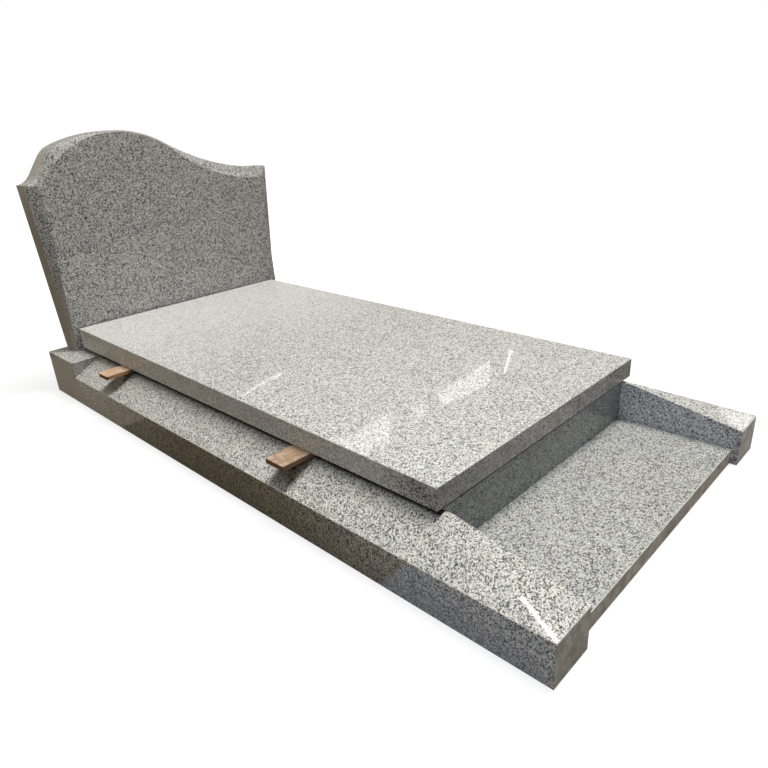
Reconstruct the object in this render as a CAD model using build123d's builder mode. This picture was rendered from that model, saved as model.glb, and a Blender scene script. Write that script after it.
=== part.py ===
from build123d import *
import os

os.makedirs("parts", exist_ok=True)

# Grave monument of grey granite, in millimetres.
# Origin on the ground in the middle of the base, +Y towards the headstone, +X right, +Z up.

# Base: two side kerbs, a rear block, a foot wall and a front tray
base_width = 1000
base_length = 2000
kerb_width = 112
kerb_seat = 12
inner_height = 148
outer_height = 94
kerb_fall = 280
block_depth = 200
wall_setback = 309
wall_thickness = 80
tray_thickness = 41
tray_setback = 17
arris = 1.5

# Ledger slab, and the battens that hold it clear of the kerbs
ledger_width = 830
ledger_foot_thickness = 51
ledger_head_thickness = 68
ledger_front_gap = 300
ledger_back_gap = 100
batten_width = 65
batten_thickness = 12
batten_end_gap = 5
batten_arris = 1
front_batten_inset = 397
rear_batten_inset = 332

# Headstone: its heights are measured up from the rear block
headstone_thickness = 90
headstone_back_gap = 2
headstone_shift = 5
foot_width = 880
shoulder_width = 936
crown_height = 709
crown_offset = -150
left_shoulder_height = 560
right_shoulder_height = 543
shoulder_run = 35
shoulder_rise = 13
hip_run = 218
hip_drop = 45
notch_radius = 45
hip_radius = 90
tail_share = 0.3

# Bevel between the headstone's sides and the edge of its front face
bevel_depth = 20
face_crown_drop = 6
face_left_inset = 44
face_left_drop = 6
face_right_inset = 43
face_right_drop = 39
face_tail_share = 0.366
wave_steps = 28

# Derived places
front_y = -base_length / 2
back_y = base_length / 2
kerb_outer_x = base_width / 2
kerb_inner_x = kerb_outer_x - kerb_width
block_front_y = back_y - block_depth
kerb_length = block_front_y - front_y
wall_front_y = front_y + wall_setback
tray_front_y = front_y + tray_setback
fall_back_y = front_y + kerb_fall
ledger_bottom = inner_height + batten_thickness
ledger_front_y = front_y + ledger_front_gap
ledger_back_y = back_y - ledger_back_gap
batten_length = base_width - 2 * batten_end_gap
face_y = back_y - headstone_back_gap - headstone_thickness
bevel_y = face_y + bevel_depth


# Rear block, the full width of the base
with BuildPart() as rear_block:
    with BuildSketch():
        with Locations((0, back_y - block_depth / 2)):
            Rectangle(base_width, block_depth)
    extrude(amount=inner_height)
    chamfer(rear_block.edges().group_by(Axis.Z)[-1], length=arris)
rear_block.part.label = "rear_block"
export_step(rear_block.part, "parts/rear_block.step")

# Left kerb: the top falls outwards from a narrow flat seat, and falls forwards towards its front end
with BuildPart() as left_kerb:
    with BuildSketch(Plane.XZ.offset(-block_front_y)):
        with BuildLine():
            Polyline(
                (-kerb_outer_x, 0),
                (-kerb_inner_x, 0),
                (-kerb_inner_x, inner_height),
                (-kerb_inner_x - kerb_seat, inner_height),
                (-kerb_outer_x, outer_height),
                close=True,
            )
        make_face()
    extrude(amount=kerb_length)
    with BuildSketch(Plane.YZ.offset(-kerb_outer_x)):
        with BuildLine():
            Polyline(
                (front_y, outer_height),
                (fall_back_y, inner_height),
                (fall_back_y, 2 * inner_height),
                (front_y, 2 * inner_height),
                close=True,
            )
        make_face()
    extrude(amount=kerb_width, mode=Mode.SUBTRACT)
    outer_edges = left_kerb.edges().filter_by(Axis.Y).group_by(Axis.X)[0]
    chamfer(outer_edges.sort_by(Axis.Z)[-1], length=arris)
    front_edges = left_kerb.edges().filter_by(Axis.X).group_by(Axis.Y)[0]
    chamfer(front_edges.sort_by(Axis.Z)[-1], length=arris)
left_kerb.part.label = "left_kerb"
export_step(left_kerb.part, "parts/left_kerb.step")

# Right kerb, the mirror image
with BuildPart() as right_kerb:
    mirror(left_kerb.part, about=Plane.YZ)
right_kerb.part.label = "right_kerb"
export_step(right_kerb.part, "parts/right_kerb.step")

# Foot wall between the kerbs, under the front end of the ledger
with BuildPart() as foot_wall:
    with BuildSketch():
        with Locations((0, wall_front_y + wall_thickness / 2)):
            Rectangle(2 * kerb_inner_x, wall_thickness)
    extrude(amount=inner_height)
    chamfer(foot_wall.edges().filter_by(Axis.X).group_by(Axis.Z)[-1], length=arris)
foot_wall.part.label = "foot_wall"
export_step(foot_wall.part, "parts/foot_wall.step")

# Front tray, a thin slab on the ground between the kerb ends
with BuildPart() as front_tray:
    with BuildSketch():
        with Locations((0, (tray_front_y + wall_front_y) / 2)):
            Rectangle(2 * kerb_inner_x, wall_front_y - tray_front_y)
    extrude(amount=tray_thickness)
    chamfer(front_tray.edges().filter_by(Axis.X).group_by(Axis.Z)[-1].sort_by(Axis.Y)[0], length=arris)
front_tray.part.label = "front_tray"
export_step(front_tray.part, "parts/front_tray.step")

# Battens across both kerbs, rough sawn
batten_places = {
    "front_batten": ledger_front_y + front_batten_inset,
    "rear_batten": ledger_back_y - rear_batten_inset,
}
for name, batten_y in batten_places.items():
    with BuildPart() as batten:
        with BuildSketch(Plane.XY.offset(inner_height)):
            with Locations((0, batten_y)):
                Rectangle(batten_length, batten_width)
        extrude(amount=batten_thickness)
        chamfer(batten.edges().filter_by(Axis.X), length=batten_arris)
    batten.part.label = name
    export_step(batten.part, f"parts/{name}.step")

# Ledger slab, loose on the battens, thicker at the head so that its top sheds water
with BuildPart() as ledger_slab:
    with BuildSketch(Plane.YZ.offset(-ledger_width / 2)):
        with BuildLine():
            Polyline(
                (ledger_front_y, ledger_bottom),
                (ledger_back_y, ledger_bottom),
                (ledger_back_y, ledger_bottom + ledger_head_thickness),
                (ledger_front_y, ledger_bottom + ledger_foot_thickness),
                close=True,
            )
        make_face()
    extrude(amount=ledger_width)
    ledger_top = ledger_slab.faces().sort_by(Axis.Z)[-1]
    chamfer(ledger_top.edges(), length=arris)
ledger_slab.part.label = "ledger_slab"
export_step(ledger_slab.part, "parts/ledger_slab.step")

# Headstone outline: a short left shoulder, a steep flank up to a rounded hip, a flat crown
# and a long tail that levels out at the right shoulder
foot_left = (headstone_shift - foot_width / 2, inner_height)
foot_right = (headstone_shift + foot_width / 2, inner_height)
shoulder_left = (headstone_shift - shoulder_width / 2, inner_height + left_shoulder_height)
shoulder_right = (headstone_shift + shoulder_width / 2, inner_height + right_shoulder_height)
crown = (headstone_shift + crown_offset, inner_height + crown_height)
notch = (shoulder_left[0] + shoulder_run, shoulder_left[1] + shoulder_rise)
hip = (crown[0] - hip_run, crown[1] - hip_drop)


def point_between(start, end, share):
    return (start[0] + share * (end[0] - start[0]), start[1] + share * (end[1] - start[1]))


turn = point_between(crown, shoulder_right, tail_share)
with BuildLine() as outer_wave:
    Line(shoulder_left, notch)
    Line(notch, hip)
    TangentArc(crown, hip, tangent=(-1, 0))
    TangentArc(crown, turn, tangent=(1, 0))
    TangentArc(shoulder_right, turn, tangent=(-1, 0))
    fillet(outer_wave.vertices().sort_by_distance(notch)[0], radius=notch_radius)
    fillet(outer_wave.vertices().sort_by_distance(hip)[0], radius=hip_radius)

# Edge of the front face: one arc over the crown, then the same kind of tail
face_left = (shoulder_left[0] + face_left_inset, shoulder_left[1] - face_left_drop)
face_right = (shoulder_right[0] - face_right_inset, shoulder_right[1] - face_right_drop)
face_crown = (crown[0], crown[1] - face_crown_drop)
face_turn = point_between(face_crown, face_right, face_tail_share)
with BuildLine() as face_wave:
    TangentArc(face_crown, face_left, tangent=(-1, 0))
    TangentArc(face_crown, face_turn, tangent=(1, 0))
    TangentArc(face_right, face_turn, tangent=(-1, 0))


def wave_points(wave):
    wire = wave.wires()[0]
    points = [wire @ (step / wave_steps) for step in range(wave_steps + 1)]
    return sorted(points, key=lambda point: point.X)


with BuildPart() as headstone:
    with BuildSketch(Plane.XZ.offset(-bevel_y)) as side_outline:
        with BuildLine():
            outer_top = Spline(*wave_points(outer_wave))
            Polyline(outer_top @ 1, foot_right, foot_left, outer_top @ 0)
        make_face()
    with BuildSketch(Plane.XZ.offset(-face_y)) as face_outline:
        with BuildLine():
            face_top = Spline(*wave_points(face_wave))
            Polyline(face_top @ 1, foot_right, foot_left, face_top @ 0)
        make_face()
    loft(sections=[side_outline.sketch, face_outline.sketch], ruled=True)
    extrude(side_outline.sketch, amount=headstone_thickness - bevel_depth, dir=(0, 1, 0))
headstone.part.label = "headstone"
export_step(headstone.part, "parts/headstone.step")
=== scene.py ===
import bpy
import bmesh
import math
from types import SimpleNamespace
from mathutils import Matrix, Vector, noise


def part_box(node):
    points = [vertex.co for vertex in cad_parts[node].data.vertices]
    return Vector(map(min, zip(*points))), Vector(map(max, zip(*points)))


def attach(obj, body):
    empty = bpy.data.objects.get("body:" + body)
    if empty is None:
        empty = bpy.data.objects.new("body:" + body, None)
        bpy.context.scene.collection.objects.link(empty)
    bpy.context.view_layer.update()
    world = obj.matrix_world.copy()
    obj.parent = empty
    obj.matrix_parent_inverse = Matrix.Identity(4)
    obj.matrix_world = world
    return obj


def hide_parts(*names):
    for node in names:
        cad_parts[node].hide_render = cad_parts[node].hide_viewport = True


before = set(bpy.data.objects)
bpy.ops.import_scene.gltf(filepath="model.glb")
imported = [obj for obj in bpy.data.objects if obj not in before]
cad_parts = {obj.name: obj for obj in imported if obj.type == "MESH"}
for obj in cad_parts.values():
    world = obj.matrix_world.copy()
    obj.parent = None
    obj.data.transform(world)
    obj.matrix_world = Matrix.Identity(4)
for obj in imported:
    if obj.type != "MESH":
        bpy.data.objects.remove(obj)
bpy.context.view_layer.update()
print("frame loaded:", len(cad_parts), "stones and battens")

# Places that several pieces share, in metres
slabLow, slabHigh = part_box("ledger_slab")
kerbLow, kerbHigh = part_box("left_kerb")
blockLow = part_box("rear_block")[0]
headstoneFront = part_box("headstone")[0].y
kerbFrontHeight = 0.094  # the kerb tops fall to this at their front ends
kerbFall = 0.28  # over this length
slabWedge = 0.017  # how much thicker the ledger is at the head
baseSide = -kerbLow.x
faceDepth = 0.001  # a point within this of a face counts as on it


# A shader value: sums on it add Math nodes, and node() adds any other node
class Value:
    def __init__(self, tree, socket=None):
        self.tree = tree
        self.socket = socket

    def node(self, kind, settings, inputs, output=0):
        made = self.tree.nodes.new(kind)
        for name, setting in settings.items():
            setattr(made, name, setting)
        for place, given in inputs.items():
            if isinstance(given, Value):
                self.tree.links.new(given.socket, made.inputs[place])
            else:
                made.inputs[place].default_value = given
        return Value(self.tree, made.outputs[output])

    def maths(self, operation, first, second):
        return self.node("ShaderNodeMath", {"operation": operation}, {0: first, 1: second})

    def __add__(self, other):
        return self.maths("ADD", self, other)

    def __radd__(self, other):
        return self.maths("ADD", other, self)

    def __sub__(self, other):
        return self.maths("SUBTRACT", self, other)

    def __rsub__(self, other):
        return self.maths("SUBTRACT", other, self)

    def __mul__(self, other):
        return self.maths("MULTIPLY", self, other)

    def __rmul__(self, other):
        return self.maths("MULTIPLY", other, self)

    def larger(self, other):
        return self.maths("MAXIMUM", self, other)

    def size(self):
        return self.node("ShaderNodeMath", {"operation": "ABSOLUTE"}, {0: self})

    def part(self, axis):
        return self.node("ShaderNodeSeparateXYZ", {}, {0: self}, axis)

    # From 0 at low to 1 at high, smoothly
    def rise(self, low, high):
        settings = {"interpolation_type": "SMOOTHSTEP"}
        return self.node("ShaderNodeMapRange", settings, {"Value": self, "From Min": low, "From Max": high})

    def fall(self, low, high):
        return 1 - self.rise(low, high)

    # Soft noise around 0.5
    def cloud(self, scale, detail):
        return self.node("ShaderNodeTexNoise", {}, {"Vector": self, "Scale": scale, "Detail": detail})

    def timesPlus(self, gain, shift):
        inputs = {0: self, 1: (gain,) * 3, 2: shift}
        return self.node("ShaderNodeVectorMath", {"operation": "MULTIPLY_ADD"}, inputs)


def newMaterial(name):
    material = bpy.data.materials.new(name)
    material.use_nodes = True
    material.node_tree.nodes.clear()
    return material, Value(material.node_tree)


def outputOf(start, shader, kind="ShaderNodeOutputMaterial"):
    made = start.tree.nodes.new(kind)
    start.tree.links.new(shader.socket, made.inputs["Surface"])


def blend(start, factor, first, second, kind="MIX"):
    settings = {"data_type": "RGBA", "blend_type": kind}
    return start.node("ShaderNodeMix", settings, {0: factor, 6: first, 7: second}, 2)


def tinted(start, factor, stone, colour):
    return blend(start, factor, stone, colour, "MULTIPLY")


def rgb(red, green, blue):
    return (red, green, blue, 1)


def meshObject(name, shape, material):
    mesh = bpy.data.meshes.new(name)
    shape.to_mesh(mesh)
    shape.free()
    mesh.materials.append(material)
    thing = bpy.data.objects.new(name, mesh)
    bpy.context.scene.collection.objects.link(thing)
    return thing


# Camera, where the photograph was taken from
cameraLook = {
    "place": Vector((-1.1826, -1.3432, 0.8440)),
    "aim": Vector((-0.0977, -0.2629, 0.2020)),
    "roll": math.radians(3.3464),
    "lens": 29.646,
    "sensor": 36,
    "nearest": 0.05,
    "farthest": 100,
}


def makeCamera():
    data = bpy.data.cameras.new("photoCamera")
    data.lens = cameraLook["lens"]
    data.sensor_width = cameraLook["sensor"]
    data.clip_start = cameraLook["nearest"]
    data.clip_end = cameraLook["farthest"]
    camera = bpy.data.objects.new("photoCamera", data)
    bpy.context.scene.collection.objects.link(camera)
    forward = (cameraLook["aim"] - cameraLook["place"]).normalized()
    level = forward.cross(Vector((0, 0, 1))).normalized()
    upright = level.cross(forward)
    right = level * math.cos(cameraLook["roll"]) - upright * math.sin(cameraLook["roll"])
    up = right.cross(forward)
    turn = Matrix((right, up, -forward)).transposed().to_4x4()
    camera.matrix_world = Matrix.Translation(cameraLook["place"]) @ turn
    bpy.context.scene.camera = camera


makeCamera()
print("camera placed")

# Room: a dim even fill, a pale floor that is white further off, and grey walls that only the polish sees
room = {
    "fill": 0.055,
    "fillColour": rgb(1.0, 0.94, 0.86),
    "floorRadius": 14,
    "floorSides": 96,
    "floorShare": 0.25,  # of the light, where the floor is looked at
    "floorGlow": 0.78,
    "floorBounce": rgb(0.12, 0.09, 0.058),  # what the floor throws back on the stones
    "whiteFrom": 1.4,
    "whiteTo": 3.0,
    "wallRadius": 7,
    "wallHeight": 12,
    "wallSides": 48,
    "wallColour": rgb(0.38, 0.35, 0.29),
}

# Lamps: a long panel overhead on the right, and small ones at the left, the rear and the foot
skyColour = (0.84, 0.92, 1.0)
panels = {
    "ceilingPanel": {
        "place": Vector((1.3, -0.95, 9.0)),
        "aim": Vector((0, 0, 0)),
        "size": (1.4, 5.0),
        "colour": (1.0, 0.995, 0.985),
        "power": 935,
    },
    "leftPanel": {
        "place": Vector((-1.7, -1.75, 1.7)),
        "aim": kerbLow,
        "size": (0.5, 0.5),
        "colour": skyColour,
        "power": 13.5,
    },
    "doorPanel": {
        "place": Vector((-1.35, -1.95, 0.45)),
        "aim": kerbLow,
        "size": (0.4, 0.4),
        "colour": skyColour,
        "power": 1.5,
    },
    "rearPanel": {
        "place": Vector((-1.7, 1.45, 0.55)),
        "aim": blockLow,
        "size": (0.5, 0.5),
        "colour": (1.0, 0.90, 0.76),
        "power": 3.0,
    },
    "footPanel": {
        "place": Vector((1.5, -2.9, 0.5)),
        "aim": Vector((0, -1, 0)),
        "size": (0.5, 0.5),
        "colour": (0.90, 0.95, 1.0),
        "power": 13,
    },
}

# Dark ground with two paler strips beside the left kerb, seen only in the polish
besideKerb = (kerbLow.x - 0.5, kerbLow.x)
groundCloths = {
    "reflectedCloth": {
        "across": (-8, 8),
        "along": (-8, 8),
        "lift": 0.001,
        "colour": rgb(0.10, 0.085, 0.065),
    },
    "coolCloth": {
        "across": besideKerb,
        "along": (-1.6, -0.62),
        "lift": 0.002,
        "colour": rgb(0.42, 0.55, 0.80),
    },
    "warmCloth": {
        "across": besideKerb,
        "along": (0.50, 1.4),
        "lift": 0.002,
        "colour": rgb(0.36, 0.31, 0.24),
    },
}


def seenDirectly(start):
    path = start.node("ShaderNodeLightPath", {}, {}, "Is Camera Ray")
    sockets = path.socket.node.outputs
    glossy = Value(start.tree, sockets["Is Glossy Ray"])
    through = Value(start.tree, sockets["Is Transmission Ray"])
    return path.larger(glossy).larger(through)


def glossyOnly(thing):
    thing.visible_camera = False
    thing.visible_diffuse = False
    thing.visible_transmission = False
    thing.visible_volume_scatter = False
    thing.visible_shadow = False


def glowMaterial(name, colour, strength):
    material, start = newMaterial(name)
    outputOf(start, start.node("ShaderNodeEmission", {}, {"Color": colour, "Strength": strength}))
    return material


def makeWorld():
    world = bpy.data.worlds.new("paleRoom")
    bpy.context.scene.world = world
    world.use_nodes = True
    world.node_tree.nodes.clear()
    start = Value(world.node_tree)
    dim = start.node("ShaderNodeBackground", {}, {"Color": room["fillColour"], "Strength": room["fill"]})
    white = start.node("ShaderNodeBackground", {}, {"Color": rgb(1, 1, 1), "Strength": 1})
    shade = start.node("ShaderNodeMixShader", {}, {0: seenDirectly(start), 1: dim, 2: white})
    outputOf(start, shade, "ShaderNodeOutputWorld")


def floorMaterial():
    material, start = newMaterial("paleFloor")
    seen = seenDirectly(start)
    share = room["floorShare"]
    tint = blend(start, seen, room["floorBounce"], rgb(share, share, share))
    matt = start.node("ShaderNodeBsdfDiffuse", {}, {"Color": tint})
    place = start.node("ShaderNodeTexCoord", {}, {}, "Object")
    away = start.node("ShaderNodeVectorMath", {"operation": "LENGTH"}, {0: place}, "Value")
    far = away.rise(room["whiteFrom"], room["whiteTo"])
    strength = seen * (room["floorGlow"] + far * (1 - room["floorGlow"]))
    glow = start.node("ShaderNodeEmission", {}, {"Color": rgb(1, 1, 1), "Strength": strength})
    outputOf(start, start.node("ShaderNodeAddShader", {}, {0: matt, 1: glow}))
    return material


def makeFloor():
    shape = bmesh.new()
    bmesh.ops.create_circle(shape, cap_ends=True, segments=room["floorSides"], radius=room["floorRadius"])
    meshObject("floor", shape, floorMaterial())


def makePanel(name, panel):
    data = bpy.data.lights.new(name, "AREA")
    data.shape = "RECTANGLE"
    data.color = panel["colour"]
    data.size, data.size_y = panel["size"]
    data.energy = panel["power"]
    lamp = bpy.data.objects.new(name, data)
    bpy.context.scene.collection.objects.link(lamp)
    lamp.location = panel["place"]
    lamp.rotation_mode = "QUATERNION"
    lamp.rotation_quaternion = (panel["place"] - panel["aim"]).to_track_quat("Z", "Y")
    lamp.visible_camera = False
    lamp.visible_glossy = False


def makeWalls():
    shape = bmesh.new()
    bmesh.ops.create_cone(
        shape,
        segments=room["wallSides"],
        radius1=room["wallRadius"],
        radius2=room["wallRadius"],
        depth=room["wallHeight"],
        matrix=Matrix.Translation((0, 0, room["wallHeight"] / 2)),
    )
    glossyOnly(meshObject("reflectedWalls", shape, glowMaterial("reflectedWalls", room["wallColour"], 1)))


def makeCloth(name, cloth):
    left, right = cloth["across"]
    near, far = cloth["along"]
    middle = Vector(((left + right) / 2, (near + far) / 2, cloth["lift"]))
    spread = Matrix.Diagonal((right - left, far - near, 1, 1))
    shape = bmesh.new()
    bmesh.ops.create_grid(shape, size=0.5, matrix=Matrix.Translation(middle) @ spread)
    glossyOnly(meshObject(name, shape, glowMaterial(name, cloth["colour"], 1)))


makeWorld()
makeFloor()
for name, panel in panels.items():
    makePanel(name, panel)
makeWalls()
for name, cloth in groundCloths.items():
    makeCloth(name, cloth)
print("studio lit")

# Bright windows seen in the polish: the face each shows on, how bright it is, and the outline it has there
windowHeight = 2.6
bevelGap = 0.003
fallSlope = (kerbHigh.z - kerbFrontHeight) / kerbFall
slabSlope = slabWedge / (slabHigh.y - slabLow.y)
slabTop = {
    "point": Vector((0, slabHigh.y, slabHigh.z)),
    "normal": Vector((0, -slabSlope, 1)).normalized(),
}
kerbFront = {
    "point": Vector((0, kerbLow.y, kerbFrontHeight)),
    "normal": Vector((0, -fallSlope, 1)).normalized(),
}
windowCards = {
    "nearWindow": {
        "face": slabTop,
        "glow": 2.0,
        "outline": [(-0.405, -0.418), (-0.238, -0.414), (-0.350, -0.520), (-0.430, -0.500)],
    },
    "middleWindow": {
        "face": slabTop,
        "glow": 1.4,
        "outline": [(-0.180, -0.419), (-0.130, -0.427), (-0.172, -0.474), (-0.249, -0.492)],
    },
    "farWindow": {
        "face": slabTop,
        "glow": 1.8,
        "outline": [(-0.104, -0.433), (0.178, -0.404), (0.045, -0.496), (-0.119, -0.488)],
    },
    "slitWindow": {
        "face": slabTop,
        "glow": 2.8,
        "outline": [(0.283, -0.399), (0.284, -0.411), (0.128, -0.490), (0.125, -0.483)],
    },
    "kerbTube": {
        "face": kerbFront,
        "glow": 20,
        "outline": [(-0.464, -0.910), (-0.458, -0.914), (-0.476, -0.961), (-0.489, -1.001), (-0.500, -1.001)],
    },
    "kerbWindow": {
        "face": kerbFront,
        "glow": 2.8,
        "outline": [
            (0.451, -0.929),
            (0.471, -0.950),
            (0.486, -0.972),
            (0.488, -0.995),
            (0.405, -1.001),
            (0.396, -0.985),
            (0.416, -0.955),
            (0.428, -0.937),
        ],
    },
    # A glowing card in the shape of the headstone's pale bevel, hung just before it, so the polish shows a
    # painted reflection of the bevel
    "bevelGlint": {
        "face": slabTop,
        "glow": 1.9,
        "outline": [
            (-0.397, -0.050),
            (-0.315, -0.019),
            (-0.240, -0.002),
            (-0.234, -0.024),
            (-0.315, -0.031),
            (-0.397, -0.060),
        ],
    },
}
windowLight = rgb(1, 0.98, 0.95)


# Each corner hangs where the camera, mirrored in the face, looks through its place in the outline
def cardCorners(face, outline, beforeHeadstone):
    normal = face["normal"]
    eye = cameraLook["place"]
    mirrored = eye - normal * 2 * (eye - face["point"]).dot(normal)
    corners = []
    for x, y in outline:
        away = Vector((x, y)) - face["point"].xy
        onStone = Vector((x, y, face["point"].z - away.dot(normal.xy) / normal.z))
        if beforeHeadstone:
            reach = (headstoneFront - bevelGap - mirrored.y) / (onStone.y - mirrored.y)
        else:
            reach = (windowHeight - mirrored.z) / (onStone.z - mirrored.z)
        corners.append(mirrored + (onStone - mirrored) * reach)
    return corners


def makeCard(name, card):
    shape = bmesh.new()
    corners = cardCorners(card["face"], card["outline"], name == "bevelGlint")
    shape.faces.new([shape.verts.new(corner) for corner in corners])
    glossyOnly(meshObject(name, shape, glowMaterial(name, windowLight, card["glow"])))


for name, card in windowCards.items():
    makeCard(name, card)
print("windows hung")

# Polished grey granite: crystal sizes in metres, minerals and their shares, then dust, stains, wear, and
# painted shade, shadow and sheen
graniteLook = {
    "grain": 0.0027,
    "fineGrain": 0.0016,
    "wobble": 0.0013,
    "wobbleScale": 190,
    "clusterScale": 60,
    "driftScale": 14,
    "clusterCrowd": 0.22,
    "driftCrowd": 0.15,
    "micaShare": 0.24,
    "micaEdge": 0.02,
    "quartzShare": 0.32,
    "quartzEdge": 0.03,
    "quartzDepth": 0.85,
    "fleckRange": (0.90, 0.92),
    "fleckDepth": 0.8,
    "feldspar": rgb(0.84, 0.83, 0.775),
    "greyFeldspar": rgb(0.62, 0.62, 0.59),
    "quartz": rgb(0.40, 0.40, 0.395),
    "mica": rgb(0.055, 0.055, 0.062),
    "middleTone": (0.44, 0.44, 0.42),
    "darkest": (0.02, 0.02, 0.02),
    "hueSpread": 0.3,
    "hueMiddle": (0.85, 0.85, 0.85),
    "sideFacing": (0.6, 0.9),
    "flatFacing": (0.5, 0.8),
    "uprightFacing": (0.3, 0.6),
    "sheenColour": rgb(0.93, 0.93, 0.91),
    "streakStretch": (1, 1, 0.12),
    "streakScale": 70,
    "streakRange": (0.45, 0.70),
    "streakShare": 0.45,
    "blotchScale": 26,
    "blotchRange": (0.42, 0.72),
    "blotchShare": 0.55,
    "dust": rgb(0.34, 0.28, 0.215),
    "tarnishScale": 48,
    "tarnishRange": (0.44, 0.60),
    "tarnishShare": 0.6,
    "tarnish": rgb(0.62, 0.56, 0.46),
    "dustRange": (0.34, 0.46),
    "dustShare": 0.35,
    "driftRange": (0.50, 0.56),
    "driftShare": 0.22,
    "clusterRange": (0.45, 0.65),
    "clusterShare": 0.25,
    "groundStainAndReflection": rgb(0.20, 0.165, 0.125),
    "stainHeight": 0.07,
    "stainScale": 11,
    "stainWander": 0.05,
    "underSlabShade": rgb(0.07, 0.07, 0.07),
    "battenShadowTint": rgb(0.42, 0.375, 0.335),
    "battenShadowWander": 0.015,
    "battenShadowReach": (0.025, 0.05),
    "battenShadowEnd": (0.470, 0.496),
    "arrisFacing": (0.78, 0.88),
    "arrisStreaks": (0.25, 0.55),
    "arrisWearAndGlintColour": rgb(0.84, 0.83, 0.79),
    "polish": 0.022,
    "micaRoughness": 0.02,
    "endRoughness": 0.3,
    "stainRoughness": 0.3,
    "pitScale": 900,
    "pitDepth": 0.0003,
    "pitStrength": 0.3,
    "stoneIor": 1.5,
    "easedEdge": 0.0008,
    "easedAngle": math.radians(28),
    "weldReach": 0.00001,
}

# A stone's place in the quarried block and its tone, how far its sides and ends were left dull and in what
# tone, how strong the grain is on flat and on upright faces, how worn and stained the stone is, and where
# shade, shadow, sheen and light are painted on it
plainCut = {
    "extraMica": 0.0,
    "grainSize": 1,
    "contrast": 1,
    "uprightContrast": 1.3,
    "sides": (0.1, rgb(0.5, 0.5, 0.5)),
    "ends": (0.0, rgb(0.5, 0.5, 0.5)),
    "sawn": 0.3,
    "arrisWearAndGlint": 0.0,
    "stain": 0.0,
}
stoneCuts = {
    "headstone": {
        "offset": (1.7, 0.4, 2.2),
        # The darker tone is painted shade: the headstone is the same granite as the ledger
        "tone": rgb(0.765, 0.76, 0.745),
        "extraMica": 0.05,
        "grainSize": 1.06,
        "uprightContrast": 1.2,
        "sides": (0.65, rgb(0.46, 0.43, 0.385)),
        "lowShade": (0.16, 0.42, rgb(0.88, 0.88, 0.885)),
    },
    "rear_block": {
        "offset": (0.3, 5.1, 1.2),
        "tone": rgb(0.85, 0.845, 0.83),
        "sides": (0.65, rgb(0.36, 0.335, 0.295)),
        "ends": (0.5, rgb(0.25, 0.245, 0.23)),
        "arrisWearAndGlint": 0.5,
        "stain": 0.2,
    },
    "left_kerb": {
        "offset": (4.2, 0.0, 0.6),
        "tone": rgb(0.87, 0.855, 0.82),
        "extraMica": 0.02,
        "contrast": 1.15,
        "grainSize": 0.93,
        "uprightContrast": 1.9,
        "sides": (0.15, rgb(0.30, 0.25, 0.19)),
        "ends": (0.80, rgb(0.74, 0.725, 0.655)),
        "arrisWearAndGlint": 0.5,
        "stain": 0.4,
        "paintedShade": (-0.05, 0.1, 0.75, rgb(0.58, 0.53, 0.42)),
        "battenShadow": 1.0,
        "jointShade": (0.4025, 0.412),
    },
    "right_kerb": {
        "offset": (6.3, 1.9, 3.4),
        "tone": rgb(0.95, 0.94, 0.92),
        "extraMica": 0.02,
        "uprightContrast": 2.6,
        # The blue in this side tone is a painted reflection of sky on the polished inner side
        "sides": (0.36, rgb(0.185, 0.26, 0.475)),
        "outerSide": (0.45, rgb(0.36, 0.335, 0.295)),
        # The near-white end tone is painted light: the right kerb's front end is made paler than the left
        # kerb's
        "ends": (0.96, rgb(1.0, 0.995, 0.96)),
        "arrisWearAndGlint": 0.7,
        "stain": 0.15,
        "battenShadow": 0.7,
        "jointShade": (0.398, 0.416),
    },
    "foot_wall": {
        "offset": (2.8, 7.5, 0.2),
        # The very dark tone and end tone are partly the wall's own darker granite and partly painted shade
        # under the ledger's overhang
        "tone": rgb(0.265, 0.28, 0.295),
        "endShade": (-0.5, 0.2, rgb(0.88, 0.88, 0.88)),
        "uprightContrast": 2.5,
        "ends": (0.15, rgb(0.16, 0.18, 0.20)),
        "jointShade": (0.5, 0.6),
        "arrisWearAndGlint": 0.4,
    },
    "front_tray": {
        "offset": (9.1, 3.3, 5.0),
        # The darker tone is partly the tray's own tone and partly painted shade of its recess between the
        # kerbs and the wall
        "tone": rgb(0.74, 0.745, 0.73),
        "extraMica": 0.02,
        "grainSize": 0.95,
        "contrast": 1.1,
        "sides": (0.6, rgb(0.5, 0.5, 0.5)),
        "ends": (0.85, rgb(0.88, 0.84, 0.77)),
        "arrisWearAndGlint": 0.6,
        "stain": 0.2,
    },
    "ledger_slab": {
        "offset": (0.9, 8.8, 4.4),
        "tone": rgb(1.0, 0.995, 0.98),
        "uprightContrast": 1.5,
        "sides": (0.42, rgb(0.74, 0.71, 0.65)),
        # The near-black end tone is painted shade on the front face
        "ends": (0.52, rgb(0.085, 0.09, 0.105)),
        "sawn": 0.9,
        "endShade": (-0.5, 0.15, rgb(0.60, 0.61, 0.63)),
        # Painted shade on the side near the foot
        "corner": (-0.66, -0.50, 0.85, rgb(0.63, 0.64, 0.66)),
        "rearSheen": (0.0, 0.75, 0.30),
        "arrisWearAndGlint": 0.4,
    },
}


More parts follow.
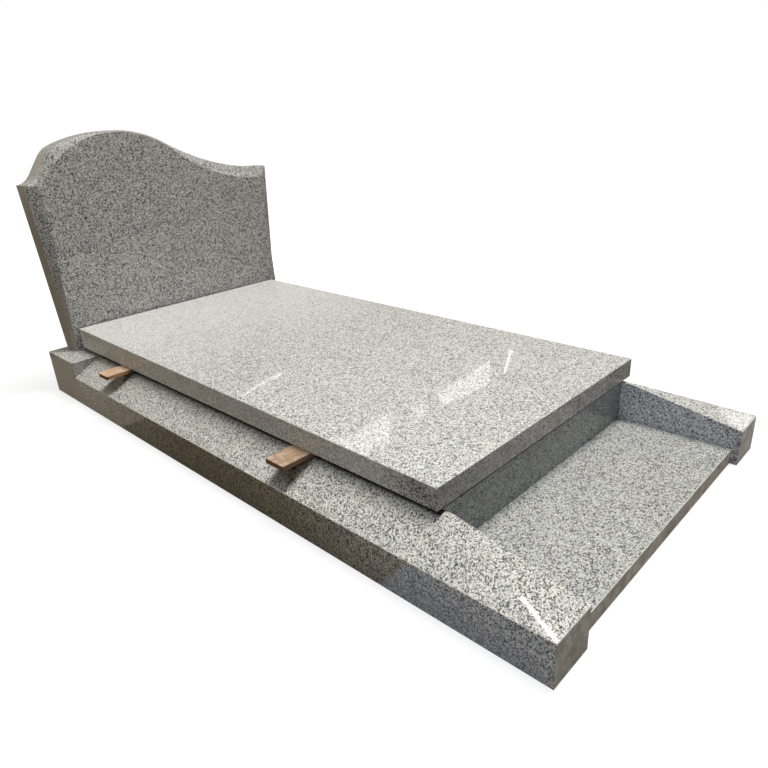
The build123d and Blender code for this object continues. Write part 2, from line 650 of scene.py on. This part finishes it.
# Where a point lies on the stone and in the quarried block, and which way its face looks
def placesOn(start, cut):
    look = graniteLook
    coordinates = start.node("ShaderNodeTexCoord", {}, {}, "Object")
    facing = Value(start.tree, coordinates.socket.node.outputs["Normal"])
    sideways, endways, upward = [facing.part(axis).size() for axis in "XYZ"]
    shrink = (1 / cut["grainSize"],) * 3
    inBlock = {"Vector": coordinates, "Location": cut["offset"], "Scale": shrink}
    stretched = {"Vector": coordinates, "Scale": look["streakStretch"]}
    block = start.node("ShaderNodeMapping", {}, inBlock)
    return SimpleNamespace(
        block=block,
        drawn=start.node("ShaderNodeMapping", {}, stretched),
        right=coordinates.part("X"),
        back=coordinates.part("Y"),
        height=coordinates.part("Z"),
        cluster=block.cloud(look["clusterScale"], 3),
        drift=block.cloud(look["driftScale"], 2),
        side=sideways.rise(*look["sideFacing"]),
        end=endways.rise(*look["sideFacing"]),
        flat=upward.rise(*look["flatFacing"]),
        upright=upward.fall(*look["uprightFacing"]),
        squarest=sideways.larger(endways).larger(upward),
    )


def cells(place, size):
    colour = place.node("ShaderNodeTexVoronoi", {}, {"Vector": place, "Scale": 1 / size}, "Color")
    return [place.node("ShaderNodeSeparateColor", {}, {0: colour}, channel) for channel in (0, 1)]


# Feldspar, quartz and mica, with bent borders so that no crystal is a clean cell
def crystals(start, at, cut):
    look = graniteLook
    noiseInputs = {"Vector": at.block, "Scale": look["wobbleScale"], "Detail": 2}
    ripple = start.node("ShaderNodeTexNoise", {}, noiseInputs, "Color")
    bent = ripple.timesPlus(look["wobble"], at.block)
    coarseA, coarseB = cells(bent, look["grain"])
    fineA, fineB = cells(bent, look["fineGrain"])

    crowd = (at.cluster - 0.5) * look["clusterCrowd"] + (at.drift - 0.5) * look["driftCrowd"]
    micaFrom = 1 - look["micaShare"] - cut["extraMica"]
    quartzFrom = 1 - look["quartzShare"]
    mica = (coarseA + crowd).rise(micaFrom - look["micaEdge"], micaFrom + look["micaEdge"])
    flecks = (fineA + crowd).rise(*look["fleckRange"])
    quartz = (coarseB - crowd * 0.5).rise(quartzFrom - look["quartzEdge"], quartzFrom + look["quartzEdge"])
    stone = blend(start, fineB, look["feldspar"], look["greyFeldspar"])
    stone = blend(start, quartz * look["quartzDepth"], stone, look["quartz"])
    dark = (mica * (0.55 + fineA * 0.45)).larger(flecks * look["fleckDepth"])
    stone = blend(start, dark, stone, look["mica"])

    for share, gain in ((1 - at.upright, cut["contrast"]), (at.upright, cut["uprightContrast"])):
        middle = tuple(part * (1 - gain) for part in look["middleTone"])
        limits = {0: stone.timesPlus(gain, middle), 1: look["darkest"]}
        sharp = start.node("ShaderNodeVectorMath", {"operation": "MAXIMUM"}, limits)
        stone = blend(start, share, stone, sharp)
    stone = tinted(start, 1.0, stone, ripple.timesPlus(look["hueSpread"], look["hueMiddle"]))
    return tinted(start, 1.0, stone, cut["tone"]), mica


# Sides and ends are duller than the polished top: how much, and the stone with that tone on it
def dullFaces(start, at, cut, stone):
    share, sideTone = cut["sides"]
    endShare, endTone = cut["ends"]
    dullSide = at.side * share
    dullEnd = at.end * endShare
    # Painted shade: near the foot the side is darkened, and its dull finish is reduced
    if "corner" in cut:
        low, high, polished, colour = cut["corner"]
        nearFoot = at.back.fall(low, high)
        dullSide = dullSide * (1 - nearFoot * polished)
        stone = tinted(start, nearFoot * at.side, stone, colour)
    if "outerSide" in cut:
        outerShare, outerTone = cut["outerSide"]
        outermost = at.right.size().rise(baseSide - 2 * faceDepth, baseSide - faceDepth)
        dullSide = dullSide + outermost * at.side * (outerShare - share)
        sideTone = blend(start, outermost, sideTone, outerTone)
    if "lowShade" in cut:
        low, high, colour = cut["lowShade"]
        stone = tinted(start, at.height.fall(low, high) * at.end, stone, colour)
    stone = blend(start, dullSide, stone, sideTone)
    stone = blend(start, dullEnd, stone, endTone)
    return stone, dullSide, dullEnd


# Upright streaks and brown blotches on the dull faces, and mottled tarnish on the ends
def dustFaces(start, at, stone, dullSide, dullEnd, streaks):
    look = graniteLook
    blotches = at.block.cloud(look["blotchScale"], 5)
    tarnish = at.block.cloud(look["tarnishScale"], 4)
    blotched = blotches.rise(*look["blotchRange"]) * look["blotchShare"]
    streaked = streaks.rise(*look["streakRange"]) * look["streakShare"]
    stone = blend(start, (blotched + streaked) * (dullSide + dullEnd), stone, look["dust"])
    mottled = tarnish.rise(*look["tarnishRange"]) * look["tarnishShare"]
    stone = tinted(start, mottled * dullEnd, stone, look["tarnish"])
    dusted = tarnish.fall(*look["dustRange"]) * look["dustShare"]
    stone = blend(start, dusted * dullEnd, stone, look["dust"])
    # Slow patches on the ends are partly ground stain and partly painted reflection of the surroundings
    drifted = at.drift.rise(*look["driftRange"]) * look["driftShare"]
    clustered = at.cluster.rise(*look["clusterRange"]) * look["clusterShare"]
    return blend(start, (drifted + clustered) * dullEnd, stone, look["groundStainAndReflection"])


# Painted shade in the joint under the ledger, painted shade on the middle of the kerb's outer side, painted
# shadow beside the battens, and painted shade on front faces, darker towards the left
def stainFaces(start, at, cut, stone):
    look = graniteLook
    across = at.right.size()
    # Painted shade: the kerb seats and the wall top under the ledger's edge are darkened nearly to black
    if "jointShade" in cut:
        underSlab = at.back.rise(slabLow.y - faceDepth, slabLow.y + faceDepth)
        stone = tinted(start, across.fall(*cut["jointShade"]) * at.flat * underSlab, stone, look["underSlabShade"])
    # Painted shade: the outer side is darkened around its middle, fading towards both ends
    if "paintedShade" in cut:
        middle, near, far, colour = cut["paintedShade"]
        stone = tinted(start, (at.back - middle).size().fall(near, far) * at.side, stone, colour)
    # Painted shadow: the kerb top beneath and beside each batten is darkened
    if "battenShadow" in cut:
        for batten in ("front_batten", "rear_batten"):
            low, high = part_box(batten)
            shadowLine = (low.y + high.y) / 2 + (at.cluster - 0.5) * look["battenShadowWander"]
            beside = (at.back - shadowLine).size().fall(*look["battenShadowReach"])
            shadedByBatten = beside * across.fall(*look["battenShadowEnd"]) * at.flat
            stone = tinted(start, shadedByBatten * cut["battenShadow"], stone, look["battenShadowTint"])
    if "endShade" in cut:
        low, high, colour = cut["endShade"]
        stone = tinted(start, at.right.fall(low, high) * at.end, stone, colour)
    return stone


def graniteMaterial(name, cut):
    look = graniteLook
    material, start = newMaterial(name)
    at = placesOn(start, cut)
    streaks = at.drawn.cloud(look["streakScale"], 3)
    stone, mica = crystals(start, at, cut)
    # Painted sheen: the ledger's top is blended paler towards the head
    if "rearSheen" in cut:
        low, high, amount = cut["rearSheen"]
        stone = blend(start, at.back.rise(low, high) * at.flat * amount, stone, look["sheenColour"])
    stone, dullSide, dullEnd = dullFaces(start, at, cut, stone)
    stone = dustFaces(start, at, stone, dullSide, dullEnd, streaks)
    stone = stainFaces(start, at, cut, stone)

    # Eased edges are pale, partly wear and partly a painted highlight where they catch light, and wet and
    # dusty stains climb from the ground
    paleArris = at.squarest.fall(*look["arrisFacing"]) * streaks.rise(*look["arrisStreaks"]) * cut["arrisWearAndGlint"]
    stone = blend(start, paleArris, stone, look["arrisWearAndGlintColour"])
    uneven = at.height + (at.block.cloud(look["stainScale"], 4) - 0.5) * look["stainWander"]
    tide = uneven.fall(0.0, look["stainHeight"]) * at.upright * cut["stain"]
    stone = blend(start, tide, stone, look["groundStainAndReflection"])

    rough = look["polish"] + mica * look["micaRoughness"] + dullSide * cut["sawn"]
    rough = rough + dullEnd * look["endRoughness"] + (tide + paleArris) * look["stainRoughness"]
    pits = at.block.cloud(look["pitScale"], 2) * (dullSide + dullEnd + tide)
    relief = {"Strength": look["pitStrength"], "Distance": look["pitDepth"], "Height": pits}
    bumps = start.node("ShaderNodeBump", {}, relief)
    surface = {"Base Color": stone, "Roughness": rough, "IOR": look["stoneIor"], "Normal": bumps}
    outputOf(start, start.node("ShaderNodeBsdfPrincipled", {}, surface))
    return material


def easeEdges(piece, width, angle):
    ease = piece.modifiers.new("ease", "BEVEL")
    ease.width = width
    ease.segments = 2
    ease.limit_method = "ANGLE"
    ease.angle_limit = angle


def finishStone(name, cut):
    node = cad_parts[name]
    node.data.materials.clear()
    node.data.materials.append(graniteMaterial(name + "_granite", {**plainCut, **cut}))
    node.modifiers.new("weld", "WELD").merge_threshold = graniteLook["weldReach"]
    easeEdges(node, graniteLook["easedEdge"], graniteLook["easedAngle"])


for name, cut in stoneCuts.items():
    finishStone(name, cut)
print("granite finished")

# Rough sawn battens: thin laths with rounded corners, with painted shade darkening them where they run in
# under the slab
battenLook = {
    "cuts": (330, 22, 5),  # along its length, width and height
    "sawWave": 0.0003,
    "sawScale": 60,
    "chipScale": (110, 9),
    "chipShare": 0.35,
    "easedEdge": 0.0005,
    "easedAngle": math.radians(50),
    "stretch": (9, 95, 95),
    "fibreScale": 1.6,
    "fibreRange": (0.40, 0.66),
    "fibreShare": 0.8,
    "patchScale": 60,
    "patchRange": (0.48, 0.66),
    "spotRange": (0.28, 0.46),
    "spotShare": 0.45,
    "waveScale": 160,
    "cornerFacing": (0.3, 0.5),
    "sideFacing": (0.4, 0.8),
    "underSlab": (0.418, 0.436),
    "paintedShade": rgb(0.16, 0.10, 0.07),
    "bumpStrength": 0.5,
    "bumpDepth": 0.0006,
    "roughness": 0.72,
}
# Each batten's side colour is a darker copy of its top: painted shade
battens = {
    "front_batten": {
        "seed": 3.1,
        "cornerRound": 0.0015,
        "ragged": 0.0,
        "top": rgb(0.385, 0.255, 0.165),
        "streak": rgb(0.27, 0.165, 0.105),
        "patch": rgb(0.55, 0.44, 0.35),
        "patchShare": 0.8,
        "side": rgb(0.165, 0.092, 0.055),
        "end": rgb(0.20, 0.125, 0.072),
    },
    "rear_batten": {
        "seed": 8.4,
        "cornerRound": 0.009,
        "ragged": 0.003,
        "top": rgb(0.56, 0.385, 0.255),
        "streak": rgb(0.45, 0.28, 0.17),
        "patch": rgb(0.66, 0.54, 0.39),
        "patchShare": 0.7,
        "side": rgb(0.42, 0.245, 0.115),
        "end": rgb(0.23, 0.115, 0.052),
    },
}


def timberMaterial(name, batten):
    look = battenLook
    material, start = newMaterial(name)
    coordinates = start.node("ShaderNodeTexCoord", {}, {}, "Object")
    facing = Value(start.tree, coordinates.socket.node.outputs["Normal"])
    across = coordinates.part("X").size()
    sideways = facing.part("Y").size()
    endways = facing.part("X").size()
    shift = (batten["seed"], batten["seed"] * 0.7, 0)
    stretched = {"Vector": coordinates, "Location": shift, "Scale": look["stretch"]}
    along = start.node("ShaderNodeMapping", {}, stretched)
    place = start.node("ShaderNodeMapping", {}, {"Vector": coordinates, "Location": shift})
    fibres = {"Vector": along, "Scale": look["fibreScale"], "Detail": 5, "Distortion": 0.5}
    patches = {"Vector": place, "Scale": look["patchScale"], "Detail": 5, "Roughness": 0.65}
    waves = {"Vector": place, "Scale": look["waveScale"], "Distortion": 3, "Detail": 2}
    grain = start.node("ShaderNodeTexNoise", {}, fibres)
    mottle = start.node("ShaderNodeTexNoise", {}, patches)
    saw = start.node("ShaderNodeTexWave", {"bands_direction": "X"}, waves)

    streaked = grain.rise(*look["fibreRange"]) * look["fibreShare"]
    patched = mottle.rise(*look["patchRange"]) * batten["patchShare"]
    spotted = mottle.fall(*look["spotRange"]) * look["spotShare"]
    colour = blend(start, streaked, batten["top"], batten["streak"])
    colour = blend(start, patched, colour, batten["patch"])
    # Painted shade: the sides take the darker side colour
    colour = blend(start, sideways.rise(*look["cornerFacing"]), colour, batten["side"])
    colour = blend(start, endways.rise(*look["cornerFacing"]), colour, batten["end"])
    colour = blend(start, spotted, colour, batten["end"])
    # Painted shade at and under the slab edge, deeper on the sides
    paintedShade = across.fall(*look["underSlab"]) * (0.5 + sideways.rise(*look["sideFacing"]) * 0.5)
    colour = blend(start, paintedShade, colour, look["paintedShade"])

    height = grain * 0.6 + saw * 0.4
    relief = {"Strength": look["bumpStrength"], "Distance": look["bumpDepth"], "Height": height}
    bumps = start.node("ShaderNodeBump", {}, relief)
    surface = {"Base Color": colour, "Roughness": look["roughness"] + saw * 0.1, "Normal": bumps}
    outputOf(start, start.node("ShaderNodeBsdfPrincipled", {}, surface))
    return material


# Rounds the corners seen from above, chips the lower front edge and waves the sawn sides
def wearBatten(shape, middle, size, batten):
    look = battenLook
    corner = batten["cornerRound"]
    chipAcross, chipAlong = look["chipScale"]
    for vert in shape.verts:
        away = vert.co - middle
        wave = noise.noise(vert.co * look["sawScale"] + Vector((0, batten["seed"], 0)))
        chip = noise.noise(Vector((vert.co.x * chipAcross + batten["seed"], vert.co.y * chipAlong, 0)))
        beside = max(0, 1 - (away.y + size.y / 2) / corner)
        under = 0.5 - away.z / size.z
        away.z += batten["ragged"] * beside * under * max(0, chip + look["chipShare"])
        out = [max(0, abs(away[axis]) - size[axis] / 2 + corner) / corner for axis in (0, 1)]
        for axis in (0, 1):
            drawn = out[axis] * math.sqrt(1 - out[1 - axis] ** 2 / 2)
            away[axis] -= math.copysign((out[axis] - drawn) * corner, away[axis])
        away.y -= math.copysign(look["sawWave"] * (1 + wave), away.y) * (out[1] > 0)
        vert.co = middle + away


def makeBatten(name, batten):
    low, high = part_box(name)
    size = high - low
    middle = (low + high) / 2
    shape = bmesh.new()
    bmesh.ops.create_cube(shape, size=1, matrix=Matrix.Translation(middle) @ Matrix.Diagonal((*size, 1)))
    for axis, cuts in enumerate(battenLook["cuts"]):
        edges = [e for e in shape.edges if abs((e.verts[0].co - e.verts[1].co)[axis]) > 0.9 * size[axis]]
        bmesh.ops.subdivide_edges(shape, edges=edges, cuts=cuts, use_grid_fill=True)
    wearBatten(shape, middle, size, batten)
    bmesh.ops.recalc_face_normals(shape, faces=shape.faces)
    piece = meshObject(name + "_timber", shape, timberMaterial(name + "_timber", batten))
    easeEdges(piece, battenLook["easedEdge"], battenLook["easedAngle"])
    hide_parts(name)
    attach(piece, "root")


for name, batten in battens.items():
    makeBatten(name, batten)
print("battens sawn")

bpy.context.scene.view_settings.view_transform = "Standard"
